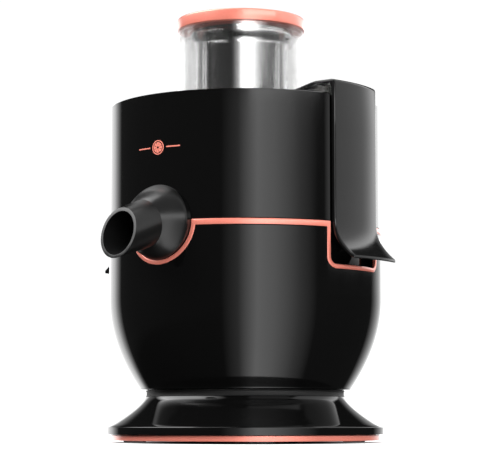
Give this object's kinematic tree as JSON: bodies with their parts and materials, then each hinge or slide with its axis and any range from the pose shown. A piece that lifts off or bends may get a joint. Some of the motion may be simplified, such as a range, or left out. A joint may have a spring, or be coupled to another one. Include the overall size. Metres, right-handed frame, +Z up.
{
  "type": "centrifugal juicer",
  "caption": "Upright centrifugal juicer: flared round base, bowl-shaped motor housing, lift-off drum with front spout, two side latches, clear chimney and pusher.",
  "frame": {"origin": "centre of the whole object's box at the height of the surface it stands on; the drum's own axis is 18.8 mm towards +Y", "axes": "+Z up along the drum's axis, -Y the way the spout points, +X and -X the two latches"},
  "size_m": [0.2566, 0.2815, 0.34],
  "materials": {
    "gloss_black": "high gloss black plastic",
    "matte_black": "matte black plastic",
    "copper_trim": "satin copper-coloured metallic finish",
    "steel": "polished to satin steel",
    "iron": "laminated sheet iron",
    "winding": "enamelled copper wire",
    "clear": "clear plastic",
    "rubber": "soft black rubber",
    "carbon": "pressed carbon",
    "board_green": "printed circuit board",
    "white_plastic": "white moulded plastic",
    "smoke": "dark moulded plastic"
  },
  "bodies": {
    "base": {"base_plate": "matte_black", "base_screw_1": "steel", "base_screw_2": "steel", "base_screw_3": "steel", "foot_1": "rubber", "foot_2": "rubber", "foot_3": "rubber", "foot_4": "rubber", "base_trim_ring": "copper_trim", "base_skirt": "gloss_black", "neck_ring": "matte_black", "motor_housing": "gloss_black", "housing_trim": "copper_trim", "motor_deck": "matte_black", "shaft_seal": "rubber", "stator_core": "iron", "winding_upper": "winding", "winding_lower": "winding", "motor_frame": "steel", "lower_bracket": "steel", "upper_bracket": "steel", "lower_bearing": "steel", "upper_bearing": "steel", "brush_holder_right": "white_plastic", "brush_holder_left": "white_plastic", "carbon_brush_right": "carbon", "carbon_brush_left": "carbon", "rotary_switch": "white_plastic", "safety_switch": "smoke", "control_board": "board_green", "suppressor_capacitor": "smoke", "cord_gland": "rubber"},
    "rotor": {"motor_shaft": "steel", "rotor_core": "iron", "commutator": "winding", "cooling_fan": "white_plastic", "drive_coupling": "matte_black"},
    "knob": {"selector_knob": "gloss_black", "selector_shaft": "steel"},
    "drum": {"upper_housing": "gloss_black", "juice_collector": "smoke", "collector_gasket": "rubber", "spout_seal": "rubber", "lid": "clear", "lid_gasket": "rubber", "latch_pin_right": "steel", "latch_pin_left": "steel"},
    "basket": {"strainer_basket": "steel", "basket_rim": "white_plastic", "basket_carrier": "white_plastic", "basket_hub": "white_plastic", "grater_disc": "steel"},
    "spout_body": {"spout": "gloss_black"},
    "pusher": {"pusher_body": "steel", "pusher_cap": "copper_trim", "pusher_top": "gloss_black"},
    "latch_right_body": {"latch_right": "gloss_black"},
    "latch_left_body": {"latch_left": "gloss_black"}
  },
  "joints": [
    {"name": "rotor_spin", "type": "hinge", "parent": "base", "child": "rotor", "pos_m": [0, 0.0188, 0.09], "axis": [0, 0, 1], "continuous": true},
    {"name": "knob_turn", "type": "hinge", "parent": "base", "child": "knob", "pos_m": [0, 0.1293, 0.112], "axis": [0, 1, 0], "range_deg": [-45, 90]},
    {"name": "drum_lift", "type": "slide", "parent": "base", "child": "drum", "axis": [0, 0, 1], "range_m": [0, 0.12]},
    {"name": "basket_spin", "type": "hinge", "parent": "drum", "child": "basket", "pos_m": [0, 0.0188, 0.18], "axis": [0, 0, 1], "continuous": true},
    {"name": "spout_turn", "type": "hinge", "parent": "drum", "child": "spout_body", "pos_m": [0, -0.0906, 0.167], "axis": [0, -1, 0], "range_deg": [0, 180]},
    {"name": "pusher_slide", "type": "slide", "parent": "drum", "child": "pusher", "axis": [0, 0, 1], "range_m": [0, 0.12]},
    {"name": "latch_right_swing", "type": "hinge", "parent": "drum", "child": "latch_right_body", "pos_m": [0.1054, 0.0188, 0.15], "axis": [0, 1, 0], "range_deg": [0, 40]},
    {"name": "latch_left_swing", "type": "hinge", "parent": "drum", "child": "latch_left_body", "pos_m": [-0.1054, 0.0188, 0.15], "axis": [0, -1, 0], "range_deg": [0, 40]}
  ],
  "couplings": [
    {"joint": "basket_spin", "follows": "rotor_spin", "ratio": 1}
  ]
}
